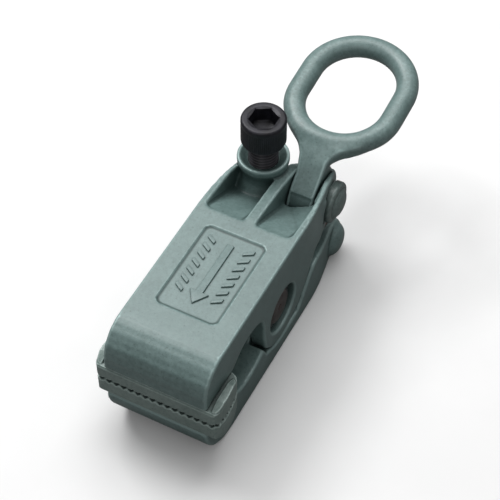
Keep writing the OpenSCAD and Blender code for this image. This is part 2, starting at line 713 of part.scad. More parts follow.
module pull_ring() color(paint) difference() {
    union() {
        oval_bar();
        ring_neck();
        ring_eye();
    }
    // bush bore
    ybar_across(ringpin_x, ringpin_z, ring_bush_d);
}
module ring_bush() color(bronze) difference() {
    ybar(ringpin_x, ringpin_z, ring_bush_d, shank_right, shank_left);
    ybar_across(ringpin_x, ringpin_z, ringpin_d);
}

upper_jaw();
upper_jaw_plate();
upper_plate_screws();
pivot_pin();
pivot_snap_rings();
opening_spring();
ring_pin();
ring_pin_set_screw();
lower_jaw();
lower_jaw_plate();
lower_plate_screws();
pivot_bush();
thrust_pad();
tail_pin();
tail_pin_set_screw();
tail_roller();
clamp_screw();
screw_foot();
foot_snap_ring();
pull_ring();
ring_bush();
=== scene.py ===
"""A pulling clamp: two cast jaws on a cross pivot, a clamping screw and a forged pull ring.

The part lies along X, with the nose and grip plates at -X and the pull ring at +X.
Y runs across it, along the pins, and Z is up. Sizes are in millimetres, scaled to
metres by MM when a mesh is made.
"""
import math

import bmesh
import bpy
import numpy as np
from mathutils import Matrix, Vector


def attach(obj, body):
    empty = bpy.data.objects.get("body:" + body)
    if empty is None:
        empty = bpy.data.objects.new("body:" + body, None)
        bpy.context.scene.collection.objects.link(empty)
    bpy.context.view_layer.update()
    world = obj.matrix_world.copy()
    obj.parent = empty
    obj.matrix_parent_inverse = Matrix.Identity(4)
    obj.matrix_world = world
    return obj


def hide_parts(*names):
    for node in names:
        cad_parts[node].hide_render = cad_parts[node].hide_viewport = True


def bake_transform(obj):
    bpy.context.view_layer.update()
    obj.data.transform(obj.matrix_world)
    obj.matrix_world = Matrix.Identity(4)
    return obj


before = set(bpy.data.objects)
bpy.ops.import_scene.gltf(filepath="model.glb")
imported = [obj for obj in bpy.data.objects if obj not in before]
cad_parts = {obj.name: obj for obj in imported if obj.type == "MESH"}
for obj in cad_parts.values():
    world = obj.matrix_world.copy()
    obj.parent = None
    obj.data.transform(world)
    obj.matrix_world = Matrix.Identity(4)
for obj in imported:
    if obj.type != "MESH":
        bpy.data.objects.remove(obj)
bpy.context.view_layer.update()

MM = 0.001

# ------------------------------------------------------------------ shared places, mm
JAW_HALF_WIDTH = 28.5
TOP_Z = 71.5                      # top of the upper jaw
PANEL_Z = TOP_Z - 0.9             # floor of the sunk panel in that top
PARTING_Z = 37                    # height midway between the two grip plates
PIVOT_X, PIVOT_Z = 0.0, 33.0
SCREW_X, SCREW_Y = 57.4, 12.8     # axis of the clamping screw
LUG_Y = -12.25                    # middle of the ring bush and of the tail roller
RING_PIN = dict(x=65.5, z=48.3, radius=6.95, head_y=-23.1, end_y=3.0,
                groove_y=-1.2, groove_width=5.2, groove_radius=5.2)
TAIL_PIN = dict(x=70.3, z=11.6, radius=4.45, head_y=-24.2, end_y=2.0,
                groove_y=-1.1, groove_width=4.2, groove_radius=3.3)
RING_X, RING_Z = 114.4, 78.6      # centre of the pull ring
RING_PITCH = math.radians(6.1)    # its tilt about Y

# turns a part built about +Z so that its axis points another way
TURNS = {
    "+Z": Matrix.Identity(3),
    "+Y": Matrix(((1, 0, 0), (0, 0, 1), (0, -1, 0))),
    "-Y": Matrix(((1, 0, 0), (0, 0, -1), (0, 1, 0))),
}


# ------------------------------------------------------------------ mesh helpers
# a "part" is a pair (verts, faces) in mm
def new_object(name, part, sharp=32.0):
    verts, faces = part
    me = bpy.data.meshes.new(name)
    me.from_pydata([tuple(float(c) * MM for c in v) for v in verts], [],
                   [tuple(int(i) for i in f) for f in faces])
    me.validate()
    bm = bmesh.new()
    bm.from_mesh(me)
    bmesh.ops.recalc_face_normals(bm, faces=bm.faces)
    bm.to_mesh(me)
    bm.free()
    me.shade_smooth()
    me.set_sharp_from_angle(angle=math.radians(sharp))
    return link_mesh(name, me)


def link_mesh(name, me):
    ob = bpy.data.objects.new(name, me)
    bpy.context.scene.collection.objects.link(ob)
    return ob


def join_parts(parts):
    verts, faces = [], []
    for part_verts, part_faces in parts:
        first = len(verts)
        verts += part_verts
        faces += [tuple(i + first for i in f) for f in part_faces]
    return verts, faces


def place(part, origin, axis="+Z"):
    """point the part's +Z along axis, then move it to origin"""
    verts, faces = part
    turn, shift = TURNS[axis], Vector(origin)
    return [tuple(turn @ Vector(v) + shift) for v in verts], faces


def rounded(profile, radii, closed=False, steps=3):
    """round the corners of a polyline; radii is one radius or one per corner"""
    count = len(profile)
    if not isinstance(radii, (list, tuple)):
        radii = [radii] * count
    out = []
    for i in range(count):
        if not closed and i in (0, count - 1):
            out.append(profile[i])
            continue
        before, corner, after = (Vector(profile[k]) for k in (i - 1, i, (i + 1) % count))
        back, ahead = before - corner, after - corner
        back_length, ahead_length = back.length, ahead.length
        if back_length < 1e-6 or ahead_length < 1e-6 or radii[i] <= 0:
            out.append(profile[i])
            continue
        back /= back_length
        ahead /= ahead_length
        angle = math.acos(max(-1, min(1, back.dot(ahead))))
        if angle > math.radians(170):
            out.append(profile[i])
            continue
        cut = min(radii[i] / math.tan(angle / 2), back_length * 0.45, ahead_length * 0.45)
        start, end = corner + back * cut, corner + ahead * cut
        for k in range(steps + 1):
            s = k / steps
            point = start * (1 - s) ** 2 + corner * 2 * s * (1 - s) + end * s ** 2
            out.append((point.x, point.y))
    return out


def band(inner, outer, bottom, top, radii, steps=3):
    """closed (radius, height) profile of a tube wall"""
    corners = [(inner, bottom), (outer, bottom), (outer, top), (inner, top)]
    return rounded(corners, radii, closed=True, steps=steps)


def skin(rings, closed=False, sector=False):
    """faces between point loops of equal length; a loop may be a single point.
    closed: the last loop joins the first. sector: loops don't wrap, and get end caps."""
    verts, rows = [], []
    count = max(len(ring) for ring in rings)
    for ring in rings:
        first = len(verts)
        rows.append([first] * count if len(ring) == 1 else list(range(first, first + count)))
        verts += ring
    faces = []
    pairs = list(zip(rows, rows[1:])) + ([(rows[-1], rows[0])] if closed else [])
    for low, high in pairs:
        for i in range(count - 1 if sector else count):
            j = (i + 1) % count
            quad = [low[i], low[j], high[j], high[i]]
            face = [quad[k] for k in range(4) if quad[k] != quad[k - 1]]
            if len(face) >= 3:
                faces.append(face)
    if sector:
        faces.append([row[0] for row in rows])
        faces.append([row[-1] for row in reversed(rows)])
    return verts, faces


def lathe(profile, segments=96, closed=False, start=0.0, sweep=360.0):
    """turn (radius, height) pairs about +Z, over sweep degrees from start"""
    sector = sweep < 360
    angles = [math.radians(start + sweep * i / segments)
              for i in range(segments + 1 if sector else segments)]
    rings = [[(0, 0, h)] if r < 1e-7 else [(r * math.cos(a), r * math.sin(a), h) for a in angles]
             for r, h in profile]
    return skin(rings, closed, sector)


def radial_ring(radii, z):
    """a level loop about Z with one radius per point"""
    step = 2 * math.pi
    count = len(radii)
    return [(r * math.cos(step * i / count), r * math.sin(step * i / count), z)
            for i, r in enumerate(radii)]


def circle_ring(radius, z, count):
    return radial_ring([radius] * count, z)


def hex_ring(flats, z, count, max_radius=math.inf):
    """a hexagon, flats across, cut off at max_radius"""
    offsets = [math.radians((360.0 * i / count) % 60 - 30) for i in range(count)]
    return radial_ring([min(flats / 2 / math.cos(a), max_radius) for a in offsets], z)


# ------------------------------------------------------------------ dense mesh helpers
def read_vectors(items, field):
    flat = np.zeros(len(items) * 3, np.float32)
    items.foreach_get(field, flat)
    return flat.reshape(-1, 3)


def read_coords(me):
    return read_vectors(me.vertices, "co").astype(np.float64)


def write_coords(me, co):
    me.vertices.foreach_set("co", co.astype(np.float32).ravel())
    me.update()


def read_edges(me):
    """vertex pairs, and how many edges meet at each vertex"""
    edges = np.zeros(len(me.edges) * 2, np.int32)
    me.edges.foreach_get("vertices", edges)
    degree = np.maximum(np.bincount(edges, minlength=len(me.vertices)), 1).astype(float)
    return edges.reshape(-1, 2), degree


def neighbour_mean(values, edges, degree):
    out = np.empty_like(values)
    a, b = edges[:, 0], edges[:, 1]
    for k in range(values.shape[1]):
        out[:, k] = (np.bincount(a, values[b, k], len(values))
                     + np.bincount(b, values[a, k], len(values))) / degree
    return out


def relax(me, steps, weight=None):
    """smooth the mesh; weight gives each point's share from its place in mm"""
    co = read_coords(me)
    edges, degree = read_edges(me)
    pull = 0.5 if weight is None else (0.5 * weight(co / MM))[:, None]
    for _ in range(steps):
        co += pull * (neighbour_mean(co, edges, degree) - co)
    write_coords(me, co)


def store_curvature(me, scale):
    """attribute 'curv': about +1 on a rounded outer edge, -1 in a corner"""
    co = read_coords(me)
    edges, degree = read_edges(me)
    normals = read_vectors(me.vertex_normals, "vector")
    offset = neighbour_mean(co, edges, degree) - co
    length = np.linalg.norm(co[edges[:, 0]] - co[edges[:, 1]], axis=1)
    mean_square = (np.bincount(edges[:, 0], length ** 2, len(co))
                   + np.bincount(edges[:, 1], length ** 2, len(co))) / degree
    curv = -(offset * normals).sum(1) / np.maximum(mean_square, 1e-12) * 4 * scale
    curv = curv[:, None]
    for _ in range(2):
        curv = 0.5 * curv + 0.5 * neighbour_mean(curv, edges, degree)
    attribute = me.attributes.new("curv", "FLOAT", "POINT")
    attribute.data.foreach_set("value", np.clip(curv[:, 0], -2, 2).astype(np.float32))


def dense(node, name, voxel, reshape=None):
    """a fresh closed mesh over a CAD node's surface, with even small faces"""
    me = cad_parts[node].data.copy()
    me.name = name
    bm = bmesh.new()
    bm.from_mesh(me)
    bmesh.ops.remove_doubles(bm, verts=bm.verts, dist=2e-6)
    bm.to_mesh(me)
    bm.free()
    if reshape:
        write_coords(me, reshape(read_coords(me) / MM) * MM)
    source = link_mesh(name + "_tmp", me)
    mod = source.modifiers.new("remesh", "REMESH")
    mod.mode = "VOXEL"
    mod.voxel_size = voxel * MM
    mod.adaptivity = 0
    graph = bpy.context.evaluated_depsgraph_get()
    out = bpy.data.meshes.new_from_object(source.evaluated_get(graph), depsgraph=graph)
    bpy.data.objects.remove(source)
    out.name = name
    out.materials.clear()
    out.shade_smooth()
    return link_mesh(name, out)


def rise(start, end, value):
    """smooth step from 0 at start to 1 at end"""
    t = np.clip((value - start) / (end - start), 0, 1)
    return t * t * (3 - 2 * t)


def fall(start, end, value):
    return 1 - rise(start, end, value)


# ------------------------------------------------------------------ materials
class Shader:
    """a Principled material and short calls for its nodes; sizes in mm"""

    def __init__(self, name):
        self.material = bpy.data.materials.new(name)
        self.material.use_nodes = True
        self.tree = self.material.node_tree
        self.tree.nodes.clear()
        output = self.node("OutputMaterial")
        self.principled = self.node("BsdfPrincipled")
        self.tree.links.new(self.principled.outputs[0], output.inputs[0])
        self.coords = self.node("TexCoord").outputs["Object"]

    def node(self, kind):
        return self.tree.nodes.new("ShaderNode" + kind)

    def feed(self, socket, value):
        """set a socket to a number or a colour, or link it"""
        if isinstance(value, (int, float)):
            socket.default_value = value
        elif isinstance(value, tuple):
            socket.default_value = value + (1,)
        else:
            self.tree.links.new(value, socket)

    def noise(self, size, detail=3.0, rough=0.55, coords=None):
        n = self.node("TexNoise")
        n.inputs["Scale"].default_value = 1000.0 / size
        n.inputs["Detail"].default_value = detail
        n.inputs["Roughness"].default_value = rough
        self.feed(n.inputs["Vector"], coords or self.coords)
        return n.outputs["Fac"]

    def stretched(self, scale):
        n = self.node("Mapping")
        n.inputs["Scale"].default_value = scale
        self.feed(n.inputs["Vector"], self.coords)
        return n.outputs["Vector"]

    def curvature(self):
        n = self.node("Attribute")
        n.attribute_name = "curv"
        return n.outputs["Fac"]

    def span(self, value, start, end):
        """smooth step from 0 at start to 1 at end"""
        n = self.node("MapRange")
        n.interpolation_type = "SMOOTHSTEP"
        n.inputs["From Min"].default_value = start
        n.inputs["From Max"].default_value = end
        self.feed(n.inputs["Value"], value)
        return n.outputs["Result"]

    def math(self, operation, a, b):
        n = self.node("Math")
        n.operation = operation
        self.feed(n.inputs[0], a)
        self.feed(n.inputs[1], b)
        return n.outputs[0]

    def add(self, a, b):
        return self.math("ADD", a, b)

    def times(self, value, weight):
        return self.math("MULTIPLY", value, weight)

    def larger(self, a, b):
        return self.math("MAXIMUM", a, b)

    def swing(self, noise, amount):
        """noise centred on zero, times amount"""
        return self.times(self.math("SUBTRACT", noise, 0.5), weight=amount)

    def mix(self, factor, a, b):
        n = self.node("Mix")
        n.data_type = "RGBA"
        for index, value in ((0, factor), (6, a), (7, b)):
            self.feed(n.inputs[index], value)
        return n.outputs[2]

    def bump(self, height, distance, strength):
        n = self.node("Bump")
        n.inputs["Distance"].default_value = distance * MM
        n.inputs["Strength"].default_value = strength
        self.feed(n.inputs["Height"], height)
        return n.outputs["Normal"]

    def openness(self, distance, samples=6):
        """ambient occlusion: 1 in the open, 0 in a closed corner"""
        n = self.node("AmbientOcclusion")
        n.samples = samples
        n.inputs["Distance"].default_value = distance * MM
        return n.outputs["AO"]

    def finish(self, **values):
        """base_color=... feeds the socket 'Base Color', and so on"""
        for key, value in values.items():
            socket = key.replace("_", " ").title().replace("Ior", "IOR")
            self.feed(self.principled.inputs[socket], value)
        return self.material


def tinted(color, gain, lift=0.0):
    return tuple(min(1, c * gain + lift) for c in color)


def paint_material(name, light, mid, dark, grain=1.0, rough=0.42, wear=1.0):
    """thin paint over a sand casting: mottled, with fine orange peel, rubbed edges
    and painted shade in the corners, deep recesses and narrow gaps"""
    sh = Shader(name)
    broad = sh.noise(size=16, detail=3, rough=0.6)
    mottle = sh.noise(size=2.2, detail=4, rough=0.62)
    fine = sh.noise(size=0.7, detail=3, rough=0.6)
    tone = sh.add(sh.times(sh.span(broad, start=0.3, end=0.7), weight=0.35),
                  sh.times(sh.span(mottle, start=0.32, end=0.68), weight=0.65))
    color = sh.mix(tone, mid, light)
    specks = sh.span(fine, start=0.60, end=0.72)
    color = sh.mix(sh.times(specks, weight=0.24), color, tinted(light, gain=1.25))
    pits = sh.span(sh.noise(size=1.1, detail=2, rough=0.5), start=0.36, end=0.27)
    color = sh.mix(sh.times(pits, weight=0.30), color, dark)

    curv = sh.curvature()
    ragged = sh.add(curv, sh.swing(sh.noise(size=1.6, detail=4, rough=0.7), amount=0.9))
    rubbed = sh.times(sh.span(ragged, start=0.25, end=0.85), weight=0.75 * wear)
    # painted shade: the colour goes towards dark in concave corners (from curvature), in deep
    # recesses (ambient occlusion over 20 mm) and in narrow gaps between parts (ambient occlusion
    # over 1.5 mm); the same mask makes the paint rougher there
    hollow = sh.span(curv, start=-0.10, end=-0.70)
    recess_shade = sh.span(sh.openness(distance=20.0), start=0.72, end=0.18)
    gap_shade = sh.span(sh.openness(distance=1.5), start=0.93, end=0.40)
    painted_shade = sh.larger(sh.times(hollow, weight=0.70), sh.times(recess_shade, weight=0.88))
    painted_shade = sh.larger(painted_shade, sh.times(gap_shade, weight=0.85))
    color = sh.mix(painted_shade, color, dark)
    color = sh.mix(rubbed, color, tinted(light, gain=1.45, lift=0.05))

    height = sh.add(sh.times(mottle, weight=0.6), sh.times(fine, weight=0.4))
    normal = sh.bump(height, distance=0.16 * grain, strength=0.7)
    roughness = sh.add(rough, sh.swing(mottle, amount=0.25))
    roughness = sh.add(roughness, sh.times(painted_shade, weight=0.22))
    return sh.finish(base_color=color, roughness=roughness, normal=normal,
                     metallic=sh.times(rubbed, weight=0.3), specular_ior_level=0.6,
                     coat_weight=0.12, coat_roughness=0.35)


def metal_material(name, base, dark, metallic, rough, turned=False, grain=0.05, edge=0.6):
    """steel or bronze with oil staining, rubbed edges and painted shade in recesses; turned adds
    marks round Y
    """
    sh = Shader(name)
    stain = sh.noise(size=5, detail=4, rough=0.65)
    fine = sh.noise(size=0.5, detail=3, rough=0.6)
    color = sh.mix(sh.span(stain, start=0.35, end=0.65), dark, base)
    height = fine
    if turned:
        along_y = sh.stretched(scale=(0.12, 2.2, 0.12))
        marks = sh.noise(size=0.9, detail=2, rough=0.5, coords=along_y)
        height = sh.add(sh.times(marks, weight=0.8), sh.times(fine, weight=0.3))
        bright = sh.times(sh.span(marks, start=0.4, end=0.62), weight=0.35)
        color = sh.mix(bright, color, tinted(base, gain=1.35))
    curv = sh.curvature()
    ragged = sh.add(curv, sh.swing(stain, amount=0.7))
    rubbed = sh.times(sh.span(ragged, start=0.2, end=0.9), weight=edge)
    color = sh.mix(rubbed, color, tinted(base, gain=1.9, lift=0.06))
    # painted shade: recesses (ambient occlusion over 5 mm) are darkened towards a deeper copy of
    # dark
    recess_shade = sh.span(sh.openness(distance=5.0, samples=4), start=0.8, end=0.2)
    color = sh.mix(sh.times(recess_shade, weight=0.6), color, tinted(dark, gain=0.4))
    roughness = sh.add(rough, sh.swing(stain, amount=0.3))
    return sh.finish(base_color=color, roughness=roughness, metallic=metallic,
                     normal=sh.bump(height, distance=grain, strength=0.6))


# each finish is (slot, material)
PAINT = ("cast_paint", paint_material(
    "cast_paint", light=(0.166, 0.244, 0.236), mid=(0.112, 0.174, 0.168),
    dark=(0.012, 0.034, 0.031)))
HEAD = ("cast_paint", paint_material(
    "head_paint", light=(0.165, 0.218, 0.208), mid=(0.100, 0.138, 0.130),
    dark=(0.014, 0.034, 0.030), wear=1.3))
PLATE = ("plate_steel", paint_material(
    "plate_paint", light=(0.240, 0.310, 0.290), mid=(0.160, 0.222, 0.206),
    dark=(0.010, 0.022, 0.020), grain=0.6, rough=0.45, wear=1.1))
BLACK = ("black_oxide", metal_material(
    "black_oxide", base=(0.020, 0.020, 0.027), dark=(0.008, 0.008, 0.011),
    metallic=0.30, rough=0.44, grain=0.04, edge=0.45))
PIN = ("pin_steel", metal_material(
    "pin_steel", base=(0.155, 0.135, 0.128), dark=(0.075, 0.058, 0.054),
    metallic=0.85, rough=0.40, turned=True))
SPRING = ("spring_steel", metal_material(
    "spring_steel", base=(0.30, 0.30, 0.31), dark=(0.14, 0.13, 0.13),
    metallic=1.0, rough=0.30, grain=0.02))
BRONZE = ("bronze", metal_material(
    "bearing_bronze", base=(0.44, 0.27, 0.10), dark=(0.22, 0.12, 0.05),
    metallic=1.0, rough=0.35, turned=True))


def finish_piece(ob, body, finish, replaces=None, curv=None):
    """curv: curvature radius in mm that reads as about 1 in the attribute"""
    slot, material = finish
    ob.data.materials.append(material)
    if curv:
        store_curvature(ob.data, curv * MM)
    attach(ob, body)
    if replaces:
        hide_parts(replaces)


# ------------------------------------------------------------------ castings
CASTING_VOXEL = 0.55


def flatten_marks(co):
    """press the CAD relief back into the panel; crisp marks are set on it below"""
    x, y, z = co.T
    marks = (np.abs(y) < 17.0) & (x > -51) & (x < 3.8) & (z > PANEL_Z + 0.2) & (z < TOP_Z - 0.15)
    co = co.copy()
    co[marks, 2] = TOP_Z - 0.95
    return co


def upper_weight(co):
    """less smoothing on the panel, round the pivot's ends and on the screw boss"""
    x, y, z = co.T
    panel = (rise(68.9, 69.8, z) * rise(-55, -53, x) * fall(5.5, 7.5, x)
             * fall(19, 21, np.abs(y)))
    bore = fall(15.0, 16.5, np.hypot(x - PIVOT_X, z - PIVOT_Z)) * rise(19, 20, np.abs(y))
    boss = fall(14.6, 15.6, np.hypot(x - SCREW_X, y - SCREW_Y)) * rise(68.5, 70.5, z)
    return 1 - 0.72 * panel - 0.5 * bore - 0.45 * boss


def nose_weight(co):
    """the cast curve of the nose, away from its side edges and the panel"""
    x, y, z = co.T
    return fall(-60, -54, x) * rise(49.5, 51.5, z) * fall(25.2, 26.8, np.abs(y))


def dress_nose(me):
    """shallow dressing marks that run across the nose"""
    centre_x, centre_z = -65.5, 54.5
    depth = 0.13
    coarse_period, fine_period = 27, 14      # degrees round the nose
    co = read_coords(me) / MM
    x, y, z = co.T
    normals = read_vectors(me.vertex_normals, "vector")
    angle = np.degrees(np.arctan2(z - centre_z, -(x - centre_x)))    # 0 at -X, 90 on top
    mask = fall(-66, -60, x) * rise(47.6, 49.0, z) * fall(84, 92, angle)
    mask *= np.clip(-normals[:, 0] + normals[:, 2], 0, 1)
    wave = (0.7 * np.sin(angle * math.tau / coarse_period + 0.9)
            + 0.3 * np.sin(angle * math.tau / fine_period + 0.01 * y))
    co += normals * (depth * wave * mask)[:, None]
    write_coords(me, co * MM)


upper = dense("upper_jaw", "upper_jaw_casting", CASTING_VOXEL, flatten_marks)
relax(upper.data, 13, upper_weight)
relax(upper.data, 45, nose_weight)
dress_nose(upper.data)
finish_piece(upper, "upper_jaw", PAINT, "upper_jaw", curv=1.6)

lower = dense("lower_jaw", "lower_jaw_casting", CASTING_VOXEL)
relax(lower.data, 12)
finish_piece(lower, "lower_jaw", PAINT, "lower_jaw", curv=1.6)


# ------------------------------------------------------------------ panel marks
# raised marks in the sunk panel: an arrow that points to the nose, between two rows of
# slanted bars; (x, y) outlines
ARROW = [(-44, 0), (-36, 5.4), (-36, 2), (-3, 2), (-3, -2), (-36, -2), (-36, -5.4)]
BAR = [(0, 8), (2.4, 8), (5.4, 13), (3, 13)]
BAR_COUNT, BAR_START_X, BAR_PITCH = 7, -40, 5.6


def relief(outline, height, draft):
    """a raised mark with sloped sides and a softened top edge, rooted in the panel"""
    count = len(outline)
    area = sum(a[0] * b[1] - b[0] * a[1] for a, b in zip(outline, outline[1:] + outline[:1]))
    if area < 0:
        outline = outline[::-1]

    def inset(distance):
        out = []
        for i in range(count):
            a, b, c = (Vector(outline[k]) for k in (i - 1, i, (i + 1) % count))
            u, v = (b - a).normalized(), (c - b).normalized()
            normal_u, normal_v = Vector((-u.y, u.x)), Vector((-v.y, v.x))
            reach = distance / max(0.35, 1 + normal_u.dot(normal_v))
            out.append(tuple(b + (normal_u + normal_v) * reach))
        return out

    top = PANEL_Z + height
    levels = [(0, PANEL_Z - 0.3), (draft * 0.5, top - 0.14), (draft * 0.75, top - 0.04),
              (draft + 0.12, top)]
    verts = [(x, y, z) for distance, z in levels for x, y in inset(distance)]
    faces = []
    for k in range(3):
        low, high = k * count, (k + 1) * count
        for i in range(count):
            j = (i + 1) % count
            faces.append((low + i, low + j, high + j, high + i))
    faces.append(tuple(3 * count + i for i in range(count)))
    faces.append(tuple(reversed(range(count))))
    return verts, faces


def panel_marks():
    marks = [relief(ARROW, height=0.86, draft=0.3)]
    for side in (1, -1):
        for i in range(BAR_COUNT):
            bar_x = BAR_START_X + BAR_PITCH * i
            bar = [(bar_x + x, y * side) for x, y in BAR]
            marks.append(relief(bar, height=0.84, draft=0.25))
    return join_parts(marks)


ob = new_object("panel_marks", panel_marks(), sharp=50)
finish_piece(ob, "upper_jaw", PAINT)

# ------------------------------------------------------------------ grip plates
PLATE_VOXEL = 0.3
PLATE_HALF_GAP = 0.45
PLATE_SCREW_X, PLATE_SCREW_Y = -70, 15
PLATE_SCREW_SINK = 2.79           # head face below the plate's gripping face

for jaw in ("upper", "lower"):
    ob = dense(f"{jaw}_jaw_plate", f"{jaw}_grip_plate", PLATE_VOXEL)
    relax(ob.data, 4)
    finish_piece(ob, f"{jaw}_jaw", PLATE, f"{jaw}_jaw_plate", curv=0.8)


def plate_screw(y, side):
    """cheese-head screw with a hexagon socket; the shank points up for side 1, down for -1"""
    n = 48
    outside = rounded([(5.5, 0.0), (5.5, 3.2), (2.95, 3.2), (2.95, 15.4), (2.2, 16.0)],
                      [0.3, 0.3, 0.3, 0.3, 0.2])
    rings = [[(0, 0, 16.0)]] + [circle_ring(r, z, n) for r, z in reversed(outside)]
    rings += [circle_ring(5.2, 0.0, n), circle_ring(2.5, 0.0, n)]
    rings += [hex_ring(4.0, 0.15, n), hex_ring(4.0, 2.0, n), [(0, 0, 2.3)]]
    verts, faces = skin(rings)
    head_z = PARTING_Z + side * (PLATE_HALF_GAP + PLATE_SCREW_SINK)
    return [(PLATE_SCREW_X + v[0], y + v[1], head_z + side * v[2]) for v in verts], faces


for jaw, side in (("upper", 1), ("lower", -1)):
    pair = [plate_screw(y, side) for y in (-PLATE_SCREW_Y, PLATE_SCREW_Y)]
    ob = new_object(f"{jaw}_plate_screw_pair", join_parts(pair))
    finish_piece(ob, f"{jaw}_jaw", BLACK, f"{jaw}_plate_screws", curv=0.5)

# ------------------------------------------------------------------ main pivot
PIVOT = (PIVOT_X, 0, PIVOT_Z)
PIVOT_END = JAW_HALF_WIDTH - 2.1  # half length of the pin
PIVOT_CLIP_Y = 24.3
CLIP_HALF_THICKNESS = 0.6


def pivot_pin():
    """pin with a dimpled centre and a clip groove at each end"""
    end = PIVOT_END
    groove_out = PIVOT_CLIP_Y + CLIP_HALF_THICKNESS
    groove_in = PIVOT_CLIP_Y - CLIP_HALF_THICKNESS
    half = [  # (radius, height), from the end's centre towards the middle
        (0, end - 1.7), (0.35, end - 1.6), (1.8, end - 0.05), (2.2, end), (8.9, end),
        (9.15, end - 0.05), (9.92, end - 0.8), (9.95, end - 1.0), (9.95, groove_out + 0.05),
        (9.9, groove_out), (8.8, groove_out), (8.8, groove_in), (9.9, groove_in),
        (9.95, groove_in - 0.1),
    ]
    return lathe(half + [(r, -h) for r, h in reversed(half)], 128)


def pivot_clips():
    """open snap rings in the two grooves"""
    profile = band(8.9, 12.3, -CLIP_HALF_THICKNESS, CLIP_HALF_THICKNESS, 0.2, steps=2)
    clip = lathe(profile, 88, closed=True, start=108, sweep=324)
    return join_parts([place(clip, (PIVOT_X, side * PIVOT_CLIP_Y, PIVOT_Z), "+Y")
                       for side in (-1, 1)])


ob = new_object("pivot_pin_turned", place(pivot_pin(), PIVOT, "+Y"))
finish_piece(ob, "upper_jaw", PIN, "pivot_pin", curv=0.6)

ob = new_object("pivot_clips", pivot_clips())
finish_piece(ob, "upper_jaw", SPRING, "pivot_snap_rings", curv=0.4)

bush = lathe(band(10.0, 12.0, -19.3, 19.3, 0.35), closed=True)
ob = new_object("pivot_bush_turned", place(bush, PIVOT, "+Y"))
finish_piece(ob, "lower_jaw", BRONZE, "pivot_bush", curv=0.6)


# ------------------------------------------------------------------ opening spring
def coil_spring(x, y, bottom, top, radius, wire, turns, turn_steps, wire_sides):
    """upright coil with a nearly closed turn at each end"""
    count = int(turns * turn_steps)
    height = top - bottom - wire
    end_rise = wire * 1.05                # rise over each end turn
    path = []
    for i in range(count + 1):
        t = i / turn_steps
        if t < 1:
            z = t * end_rise
        elif t > turns - 1:
            z = height - (turns - t) * end_rise
        else:
            z = end_rise + (t - 1) / (turns - 2) * (height - 2 * end_rise)
        a = 2 * math.pi * t
        path.append(Vector((x + radius * math.cos(a), y + radius * math.sin(a),
                            bottom + wire / 2 + z)))
    rings = [[tuple(path[0])]]
    for i, p in enumerate(path):
        along = (path[min(i + 1, count)] - path[max(i - 1, 0)]).normalized()
        out = (p - Vector((x, y, p.z))).normalized()
        side = along.cross(out).normalized()
        out = side.cross(along).normalized()
        half = wire / 2 * (0.82 if i in (0, count) else 1.0)
        angles = [2 * math.pi * j / wire_sides for j in range(wire_sides)]
        rings.append([tuple(p + out * (half * math.cos(a)) + side * (half * math.sin(a)))
                      for a in angles])
    rings.append([tuple(path[-1])])
    return skin(rings)


coil = coil_spring(x=-36, y=0, bottom=12.2, top=61.8, radius=4.9, wire=1.5, turns=9,
                   turn_steps=36, wire_sides=12)
ob = new_object("opening_spring_coil", coil, sharp=60)
ob.data.materials.append(SPRING[1])
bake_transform(ob)
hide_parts("opening_spring")


# ------------------------------------------------------------------ ring pin and tail pin
def headed_pin(pin, head):
    """grooved pin along Y with its head at -Y; head is (radius, height) out from head_y"""
    radius, groove_radius = pin["radius"], pin["groove_radius"]
    length = pin["end_y"] - pin["head_y"]
    groove = pin["groove_y"] - pin["head_y"]
    half = pin["groove_width"] / 2
    shaft = [(0, -length), (radius - 0.6, -length), (radius, -length + 0.6),
             (radius, -(groove + half)), (groove_radius, -(groove + half)),
             (groove_radius, -(groove - half)), (radius, -(groove - half)), (radius, 0.0)]
    part = lathe(rounded(shaft, 0.25, steps=2) + head, 112)
    return place(part, (pin["x"], pin["head_y"], pin["z"]), "-Y")


def domed_head():
    """(radius, height): a cylinder, a rounded shoulder and a shallow dome"""
    shoulder = [math.radians(9 * i) for i in range(11)]
    return ([(11.3, 0.0), (11.55, 0.15), (11.6, 0.5), (11.6, 3.1)]
            + [(11.6 - 2.2 * (1 - math.cos(a)), 3.2 + 1.7 * math.sin(a)) for a in shoulder]
            + [(9.1, 4.92), (8.8, 4.96), (8.6, 5.08), (8.4, 5.28), (8.0, 5.65), (7.3, 6.2),
               (6.4, 6.7), (5.4, 7.08), (4.2, 7.38), (2.8, 7.58), (1.3, 7.68), (0, 7.7)])


def grub(pin, diameter, length=6.4):
    """set screw along X, its tip by the pin's groove and its hexagon socket at +X"""
    n = 48
    d = diameter
    circles = [  # (radius, distance from the tip)
        (d * 0.24, 0.05), (d * 0.27, 0.25), (d / 2 - 0.15, d * 0.25), (d / 2, d * 0.25 + 0.3),
        (d / 2, length - 0.4), (d / 2 - 0.35, length), (d * 0.33, length),
    ]
    rings = [[(0, 0, 0.05)]] + [circle_ring(r, z, n) for r, z in circles]
    rings += [hex_ring(d * 0.52, length - 0.15, n), hex_ring(d * 0.52, length - 1.9, n)]
    rings += [[(0, 0, length - 2.1)]]
    verts, faces = skin(rings)
    tip_x = pin["x"] + pin["groove_radius"] + 0.1
    return [(tip_x + v[2], pin["groove_y"] + v[0], pin["z"] + v[1]) for v in verts], faces


ob = new_object("ring_pin_domed", headed_pin(RING_PIN, domed_head()))
finish_piece(ob, "upper_jaw", HEAD, "ring_pin", curv=1.2)
ob = new_object("tail_pin_turned", headed_pin(TAIL_PIN, [(4.45, 0.0), (4.0, 0.1), (0, 0.1)]))
finish_piece(ob, "lower_jaw", PIN, "tail_pin", curv=0.6)

